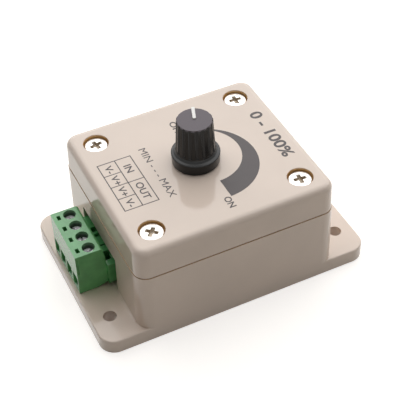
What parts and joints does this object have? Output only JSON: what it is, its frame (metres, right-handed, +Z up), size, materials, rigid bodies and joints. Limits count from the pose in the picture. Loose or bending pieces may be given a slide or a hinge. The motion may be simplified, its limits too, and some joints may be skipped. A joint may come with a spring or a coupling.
{
  "type": "led dimmer",
  "caption": "Rotary LED dimmer in a moulded box with mounting ears, a fluted knob on the lid and a pull-off screw terminal plug at one end.",
  "frame": {"origin": "middle of the footprint, on the underside", "axes": "+X along the box, away from the terminal plug; -Y towards the long front wall; +Z up the knob's axis"},
  "size_m": [0.0874, 0.058, 0.0506],
  "materials": {
    "box_plastic": "warm light grey moulded plastic, faint sheen",
    "bright_steel": "bright zinc plated steel",
    "board_laminate": "green lacquered glass laminate",
    "connector_plastic": "mid green moulded plastic",
    "tinned_copper": "tinned copper alloy",
    "plated_steel": "nickel plated steel",
    "element_laminate": "brown laminate with a carbon track",
    "wire_sleeve": "coloured insulation",
    "black_resin": "black moulding compound",
    "sink_aluminium": "dark anodised extrusion",
    "capacitor_sleeve": "dark shrink sleeve",
    "capacitor_case": "dipped resin",
    "resistor_coat": "beige lacquer with colour bands",
    "knob_plastic": "black glossy plastic",
    "pointer_plastic": "white plastic",
    "shaft_plastic": "natural white acetal"
  },
  "bodies": {
    "housing": {"base": "box_plastic", "lid": "box_plastic", "lid_screws": "bright_steel", "circuit_board": "board_laminate", "board_screws": "bright_steel", "header_housing": "connector_plastic", "header_pins": "tinned_copper", "pot_plate": "plated_steel", "pot_can": "plated_steel", "pot_element": "element_laminate", "pot_terminals": "tinned_copper", "pot_washer": "plated_steel", "pot_nut": "plated_steel", "control_wires": "wire_sleeve", "transistor_body": "black_resin", "transistor_tab": "tinned_copper", "transistor_leads": "tinned_copper", "heat_sink": "sink_aluminium", "heat_sink_screw": "bright_steel", "timer_chip": "black_resin", "chip_leads": "tinned_copper", "filter_capacitor": "capacitor_sleeve", "film_capacitors": "capacitor_case", "resistors": "resistor_coat", "diode": "black_resin"},
    "knob": {"knob": "knob_plastic", "knob_pointer": "pointer_plastic", "pot_shaft": "shaft_plastic", "pot_wiper": "tinned_copper"},
    "plug": {"plug_housing": "connector_plastic", "plug_contacts": "tinned_copper"},
    "clamp_screw_1": {"clamp_screw_1": "bright_steel"},
    "clamp_cage_1": {"clamp_cage_1": "tinned_copper"},
    "clamp_screw_2": {"clamp_screw_2": "bright_steel"},
    "clamp_cage_2": {"clamp_cage_2": "tinned_copper"},
    "clamp_screw_3": {"clamp_screw_3": "bright_steel"},
    "clamp_cage_3": {"clamp_cage_3": "tinned_copper"},
    "clamp_screw_4": {"clamp_screw_4": "bright_steel"},
    "clamp_cage_4": {"clamp_cage_4": "tinned_copper"}
  },
  "joints": [
    {"name": "knob_turn", "type": "hinge", "parent": "housing", "child": "knob", "pos_m": [0, 0, 0.0351], "axis": [0, 0, 1], "range_deg": [-219.5, 80.5]},
    {"name": "plug_slide", "type": "slide", "parent": "housing", "child": "plug", "axis": [-1, 0, 0], "range_m": [0, 0.012]},
    {"name": "clamp_screw_1_turn", "type": "hinge", "parent": "plug", "child": "clamp_screw_1", "pos_m": [-0.03744, -0.00458, 0.0159], "axis": [0, 0, -1], "range_deg": [0, 1584.1]},
    {"name": "clamp_cage_1_rise", "type": "slide", "parent": "plug", "child": "clamp_cage_1", "axis": [0, 0, 1], "range_m": [0, 0.0022]},
    {"name": "clamp_screw_2_turn", "type": "hinge", "parent": "plug", "child": "clamp_screw_2", "pos_m": [-0.03744, 0.0005, 0.0159], "axis": [0, 0, -1], "range_deg": [0, 1584.1]},
    {"name": "clamp_cage_2_rise", "type": "slide", "parent": "plug", "child": "clamp_cage_2", "axis": [0, 0, 1], "range_m": [0, 0.0022]},
    {"name": "clamp_screw_3_turn", "type": "hinge", "parent": "plug", "child": "clamp_screw_3", "pos_m": [-0.03744, 0.00558, 0.0159], "axis": [0, 0, -1], "range_deg": [0, 1584.1]},
    {"name": "clamp_cage_3_rise", "type": "slide", "parent": "plug", "child": "clamp_cage_3", "axis": [0, 0, 1], "range_m": [0, 0.0022]},
    {"name": "clamp_screw_4_turn", "type": "hinge", "parent": "plug", "child": "clamp_screw_4", "pos_m": [-0.03744, 0.01066, 0.0159], "axis": [0, 0, -1], "range_deg": [0, 1584.1]},
    {"name": "clamp_cage_4_rise", "type": "slide", "parent": "plug", "child": "clamp_cage_4", "axis": [0, 0, 1], "range_m": [0, 0.0022]}
  ],
  "couplings": [
    {"joint": "clamp_screw_1_turn", "follows": "clamp_cage_1_rise", "rad_per_m": 12566},
    {"joint": "clamp_screw_2_turn", "follows": "clamp_cage_2_rise", "rad_per_m": 12566},
    {"joint": "clamp_screw_3_turn", "follows": "clamp_cage_3_rise", "rad_per_m": 12566},
    {"joint": "clamp_screw_4_turn", "follows": "clamp_cage_4_rise", "rad_per_m": 12566}
  ]
}
